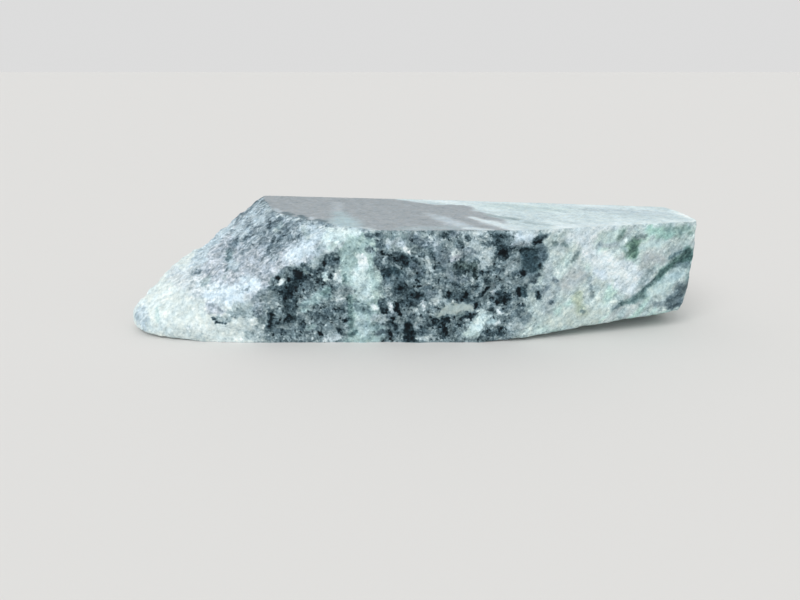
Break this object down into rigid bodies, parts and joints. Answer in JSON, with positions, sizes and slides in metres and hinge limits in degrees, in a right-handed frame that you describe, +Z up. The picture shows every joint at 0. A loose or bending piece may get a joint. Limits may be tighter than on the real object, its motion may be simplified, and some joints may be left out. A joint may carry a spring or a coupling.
{
  "type": "raw soapstone slab",
  "caption": "Long raw slab of soapstone, sawn flat above and below, with rough broken sides, a long slope at one end and a lifted lower edge at the other.",
  "frame": {"origin": "under the middle of the stone's box, on the lower saw cut that it rests on", "axes": "+X along the slab, from the sloping tip to the blunt end; +Z up, square to the saw cuts; -Y is the long mottled broken face"},
  "size_m": [0.2618, 0.0886, 0.051],
  "materials": {
    "soapstone": "matt with a faint waxy sheen; rough and grained on the broken faces, smooth on the saw cuts; pale grey-green and white, mottled with dark blue-green"
  },
  "bodies": {
    "root": {"soapstone_slab": "soapstone"}
  },
  "joints": []
}
